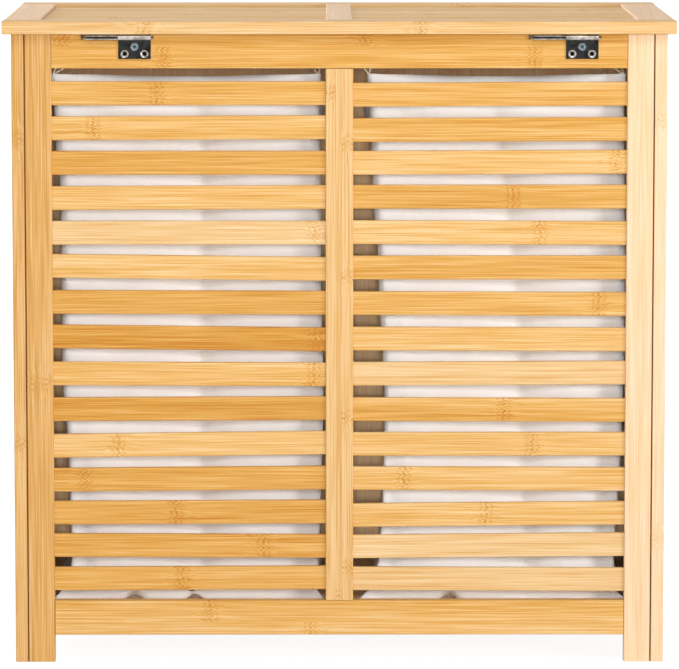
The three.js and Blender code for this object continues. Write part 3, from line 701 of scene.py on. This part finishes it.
# Lid: two rails and two stiles of laminated bamboo, dowelled, with a centre rail and eight pairs
# of slats let in between them, all lacquered.
lid_slat_pitch = 32.7
lid_slat_edges = [lid_slat_pitch * number for number in range(-3, 4)]
lid_boards = {
    "lid_rear_rail": dict(grain="x", across="y", edges=(-158,), tones=(0.52, 0.45), colours=fair,
                          knuckles=[(0, -182), (0, 76), (1, -40), (1, 210)]),
    "lid_front_rail": dict(grain="x", across="y", edges=(150,), tones=(0.5, 0.6), colours=fair,
                           knuckles=[(0, 120), (1, -150)]),
    # The stiles and the centre rail take the pale colours, partly as paler strips and partly as a painted
    # sheen on their tops
    "lid_left_stile": dict(grain="y", across="x", edges=(-298,), tones=(0.5, 0.56), colours=pale,
                           knuckles=[(0, 40)]),
    "lid_right_stile": dict(grain="y", across="x", edges=(297,), tones=(0.45, 0.52), colours=pale,
                            knuckles=[(1, -60)]),
    "lid_slats_and_centre_rail": dict(
        grain="x", across="y", edges=lid_slat_edges, tones=panel_tones, colours=fair,
        crossed=[(-12.5, 12.5)], cross_colours=pale,
        knuckles=[(0, -110), (1, 170), (2, -215), (4, 90), (5, -60), (6, 240), (7, 130)]),
}
for seed, (name, looks) in enumerate(lid_boards.items()):
    finish_board(name, bamboo(
        f"laminated bamboo, {name.replace('_', ' ')}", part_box(name), seed=seed + 50.5, **looks))

# Hinges: two lift-off hinges, each a pair of pressed steel leaves with rolled knuckles. One leaf
# carries the pin and is screwed up under the lid. The other hangs down on the case's top rail.
pressed_edge = 0.00015
# Half the height of the painted highlight band on a case leaf's knuckle
highlight_half = 0.0020


# Nickel-plated steel, pressed, with faint brushing along the leaf. Its flat faces get a dark colour, a
# painted dark reflection, and the case leaves' knuckles, the cut edges and the countersinks are painted
# bright, as painted highlights.
def plated(name, highlight_height):
    """A leaf's material. Around the given height, in metres, a band of the knuckle is painted bright, as a
    painted highlight.
    """
    material, tree, shader = new_material(name)
    place = add(tree, "TexCoord")
    brushed = add(tree, "VectorMath", {"operation": "MULTIPLY"}, {
        0: place.outputs["Object"], 1: (250, 2500, 2500)})
    lines = add(tree, "TexNoise", inputs={"Vector": brushed, "Scale": 1, "Detail": 2})
    stain = add(tree, "TexNoise", inputs={"Vector": place.outputs["Object"], "Scale": 260, "Detail": 3})
    # The flat faces' dark colours are a painted dark reflection, and the bright ones are painted highlights
    dark = add(tree, "ValToRGB", inputs={0: stain}, stops=[
        (0.35, linear("#252526")), (0.65, linear("#3B3B3A"))])
    bright = add(tree, "ValToRGB", inputs={0: stain}, stops=[
        (0.4, linear("#9A948E")), (0.6, linear("#CFC8C1"))])
    facing = add(tree, "SeparateXYZ", inputs={0: place.outputs["Normal"]})
    parts = add(tree, "SeparateXYZ", inputs={0: place.outputs["Object"]})
    # Faces that turn away from the leaf's front and back, such as the cut edges, countersinks and knuckles,
    # are painted bright, as painted highlights
    cut = add(tree, "MapRange", inputs={
        "Value": add(tree, "Math", {"operation": "ABSOLUTE"}, {0: facing.outputs["Y"]}),
        "From Min": 0.96, "From Max": 0.88})
    # A band around the knuckle's height is painted bright, as a painted highlight
    rolled = add(tree, "Math", {"operation": "COMPARE"}, {
        0: parts.outputs["Z"], 1: highlight_height, 2: highlight_half})
    painted_highlights = add(tree, "Math", {"operation": "MAXIMUM"}, {0: cut, 1: rolled})
    plate = add(tree, "MixRGB", inputs={0: painted_highlights, 1: dark, 2: bright})
    smooth = add(tree, "MapRange", inputs={"Value": lines, "To Min": 0.1, "To Max": 0.18})
    rough = add(tree, "Mix", {"data_type": "FLOAT"}, {0: painted_highlights, 2: smooth, 3: 0.38})
    scratch = add(tree, "Bump", inputs={"Height": lines, "Strength": 0.2, "Distance": 0.00005})
    tree.links.new(plate.outputs[0], shader.inputs["Base Color"])
    tree.links.new(rough.outputs[0], shader.inputs["Roughness"])
    tree.links.new(scratch.outputs[0], shader.inputs["Normal"])
    shader.inputs["Metallic"].default_value = 1
    return material


# Only a case leaf's knuckle has the painted highlight band. A lid leaf's band is set above the hamper, so it
# has none
knuckle_height, above_the_hamper = 0.5921, 1.0
leaf_steel = {
    "lid": plated("nickel-plated steel, pressed", above_the_hamper),
    "case": plated("nickel-plated steel, painted highlight on the knuckle", knuckle_height),
}
for side in ("left", "right"):
    for half in ("lid", "case"):
        finish_board(f"{side}_hinge_{half}_leaf", leaf_steel[half], ease=pressed_edge)

# Screws: countersunk, of zinc-plated steel, turned and then pressed with a cross recess. One holds
# each case leaf to the top rail, and two hold each lid leaf up to the lid.
head_radius, shank_radius, tip_radius = 0.0034, 0.0016, 0.0003
head_depth, point_length, screw_length = 0.00138, 0.0024, 0.010
crown = 0.0006
recess_width, recess_reach, recess_depth = 0.0014, 0.0014, 0.0015

# Zinc-plated steel is a bright, bluish metal with a cloudy bloom. The recess is coloured dark blue-grey,
# as painted shade, since little light comes back out of it
zinc, tree, shader = new_material("zinc-plated steel, turned")
place = add(tree, "TexCoord")
bloom = add(tree, "TexNoise", inputs={"Vector": place.outputs["Object"], "Scale": 700, "Detail": 2})
coat = add(tree, "ValToRGB", inputs={0: bloom}, stops=[
    (0.35, linear("#73838A")), (0.65, linear("#97A5AA"))])
tree.links.new(coat.outputs[0], shader.inputs["Base Color"])
shader.inputs["Metallic"].default_value = 1
shader.inputs["Roughness"].default_value = 0.2
recess_painted_shade, tree, shader = new_material("zinc in the recess, painted shade")
place = add(tree, "TexCoord")
bloom = add(tree, "TexNoise", inputs={"Vector": place.outputs["Object"], "Scale": 900, "Detail": 2})
coat = add(tree, "ValToRGB", inputs={0: bloom}, stops=[
    (0.35, linear("#26343A")), (0.65, linear("#3E5156"))])
tree.links.new(coat.outputs[0], shader.inputs["Base Color"])
shader.inputs["Metallic"].default_value = 1
shader.inputs["Roughness"].default_value = 0.4

bpy.ops.object.select_all(action="DESELECT")
bpy.ops.mesh.primitive_circle_add(vertices=28, radius=head_radius, fill_type="NGON", location=(0, 0, 0))
screw = bpy.context.object
screw.data.materials.append(zinc)
bpy.ops.object.mode_set(mode="EDIT")
bpy.ops.mesh.select_mode(type="EDGE")
bpy.ops.mesh.select_all(action="SELECT")
last_radius, last_height = head_radius, 0
for radius, height in ((shank_radius, -head_depth), (shank_radius, point_length - screw_length),
                       (tip_radius, -screw_length)):
    bpy.ops.mesh.extrude_region_move(TRANSFORM_OT_translate={"value": (0, 0, height - last_height)})
    bpy.ops.transform.resize(
        value=(radius / last_radius, radius / last_radius, 1), center_override=(0, 0, height))
    last_radius, last_height = radius, height
edit = bmesh.from_edit_mesh(screw.data)
for edge in edit.edges:
    edge.select = edge.is_boundary
edit.select_flush_mode()
bmesh.update_edit_mesh(screw.data)
last_radius, last_height = head_radius, 0
for share_out in (0.93, 0.75, 0.45, 0.15):
    radius, height = head_radius * share_out, crown * (1 - share_out ** 2)
    bpy.ops.mesh.extrude_region_move(TRANSFORM_OT_translate={"value": (0, 0, height - last_height)})
    bpy.ops.transform.resize(
        value=(radius / last_radius, radius / last_radius, 1), center_override=(0, 0, height))
    last_radius, last_height = radius, height
bpy.ops.mesh.edge_face_add()
bpy.ops.mesh.select_all(action="SELECT")
bpy.ops.mesh.normals_make_consistent(inside=False)
bpy.ops.object.mode_set(mode="OBJECT")

# The recess is pressed by a cross-shaped punch that narrows towards its point
bpy.ops.object.select_all(action="DESELECT")
bpy.ops.mesh.primitive_cube_add(size=recess_width, location=(0, 0, crown))
punch = bpy.context.object
bpy.ops.object.transform_apply(location=True, rotation=True, scale=True)
punch.data.materials.append(recess_painted_shade)
bpy.ops.object.mode_set(mode="EDIT")
bpy.ops.mesh.select_mode(type="FACE")
bpy.ops.mesh.select_all(action="SELECT")
bpy.ops.transform.resize(value=(1, 1, 2 * recess_depth / recess_width), center_override=(0, 0, crown))
edit = bmesh.from_edit_mesh(punch.data)
edit.normal_update()
for face in edit.faces:
    face.select = abs(face.normal.z) < 0.5
edit.select_flush_mode()
bmesh.update_edit_mesh(punch.data)
bpy.ops.mesh.extrude_faces_move(TRANSFORM_OT_shrink_fatten={"value": recess_reach})
edit = bmesh.from_edit_mesh(punch.data)
for face in edit.faces:
    face.select = False
for vertex in edit.verts:
    vertex.select = vertex.co.z < crown
edit.select_mode = {"VERT"}
edit.select_flush_mode()
bmesh.update_edit_mesh(punch.data)
bpy.ops.transform.resize(value=(0.7, 0.7, 1), center_override=(0, 0, crown - recess_depth))
bpy.ops.object.mode_set(mode="OBJECT")
pressed = screw.modifiers.new("cross recess", "BOOLEAN")
pressed.operation = "DIFFERENCE"
pressed.solver = "EXACT"
pressed.object = punch
# The recess's faces take the punch's dark material, the painted shade
pressed.material_mode = "TRANSFER"
apply_modifier(screw, pressed)
bpy.data.objects.remove(punch)
bpy.ops.object.shade_smooth_by_angle(angle=math.radians(35))

screw_turns = {
    "left_hinge_case_screw": 12, "right_hinge_case_screw": 38,
    "left_hinge_lid_screw_1": 60, "left_hinge_lid_screw_2": 25,
    "right_hinge_lid_screw_1": 5, "right_hinge_lid_screw_2": 72,
}
for name, turn in screw_turns.items():
    low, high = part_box(name)
    middle = (low + high) / 2
    fitted = screw.copy()
    fitted.data = screw.data.copy()
    bpy.context.scene.collection.objects.link(fitted)
    fitted.name = name.replace("hinge_", "hinge_cross_")
    if "case" in name:
        head, lean, body = Vector((middle.x, low.y + crown, middle.z)), math.pi / 2, "case"
    else:
        head, lean, body = Vector((middle.x, middle.y, low.z + crown)), math.pi, "lid"
    spin = Matrix.Rotation(math.radians(turn), 4, "Z")
    fitted.data.transform(Matrix.Translation(head) @ Matrix.Rotation(lean, 4, "X") @ spin)
    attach(fitted, body)
    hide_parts(name)
bpy.data.objects.remove(screw)

# Floor and backdrop: one pale sheet. To the camera it is mostly a white backdrop that the
# hamper's shadow still falls on.
def seen_rays(tree):
    """One for the rays that show the backdrop itself, and nought for those that only light the hamper."""
    ray = add(tree, "LightPath")
    shown = ray.outputs["Is Camera Ray"]
    for kind in ("Is Glossy Ray", "Is Transmission Ray"):
        shown = add(tree, "Math", {"operation": "MAXIMUM"}, {0: shown, 1: ray.outputs[kind]})
    return shown


bpy.ops.object.select_all(action="DESELECT")
bpy.ops.mesh.primitive_plane_add(size=40, location=(0, 0, 0))
floor = bpy.context.object
floor.name = "studio_floor"
backdrop_strength = 1.15
room_light = 0.13
paper, tree, shader = new_material("white paper sweep")
tree.nodes.remove(shader)
seen = seen_rays(tree)
matt = add(tree, "BsdfDiffuse", inputs={"Color": linear("#F4F3F1")})
white = add(tree, "Emission", inputs={"Color": (1, 1, 1, 1), "Strength": backdrop_strength})
place = add(tree, "TexCoord")
away = add(tree, "VectorMath", {"operation": "LENGTH"}, {0: place.outputs["Object"]})
faded = add(tree, "MapRange", {"interpolation_type": "SMOOTHSTEP"}, {
    "Value": away.outputs["Value"], "From Min": 0.5, "From Max": 1.6, "To Min": 0.8, "To Max": 1.0})
blended = add(tree, "MixShader", inputs={
    0: add(tree, "Math", {"operation": "MULTIPLY"}, {0: seen, 1: faded}), 1: matt, 2: white})
tree.links.new(blended.outputs[0], tree.nodes["Material Output"].inputs[0])
floor.data.materials.append(paper)

world = bpy.data.worlds.new("studio")
bpy.context.scene.world = world
world.use_nodes = True
tree = world.node_tree
strength = add(tree, "MixRGB", inputs={
    0: seen_rays(tree), 1: (room_light, room_light, room_light, 1), 2: (1, 1, 1, 1)})
tree.links.new(strength.outputs[0], tree.nodes["Background"].inputs[0])

# Lights: three small soft boxes stand over each other behind the camera. Each is a slat's pitch above
# the last, as the far wall sees it, so they all reach in between the slats, and the slats' shadows on
# the bags grow softer upwards. They have no mirror image, as they would glare in the lid. A large box
# stands high up, one to the right that shows the bags' folds, and one behind for the user's side.
for name, place, size, power in (
    ("front low box", (-0.015, -4.62, 0.875), 0.14, 30),
    ("front middle box", (-0.015, -4.62, 1.350), 0.14, 30),
    ("front upper box", (-0.015, -4.62, 1.825), 0.16, 32),
    ("high soft box", (0.6, -3.3, 4.3), 1.9, 125),
    ("right soft box", (3.0, -2.5, 0.75), 0.8, 56),
    ("rear soft box", (-2.8, 2.6, 1.6), 1.4, 165),
):
    lamp = bpy.data.lights.new(name, "AREA")
    lamp.size = size
    lamp.energy = power
    holder = bpy.data.objects.new(name, lamp)
    holder.location = place
    holder.rotation_euler = (Vector((0, 0, 0.32)) - Vector(place)).to_track_quat("-Z", "Y").to_euler()
    holder.visible_glossy = "front" not in name
    bpy.context.scene.collection.objects.link(holder)

bpy.context.scene.view_settings.view_transform = "Standard"
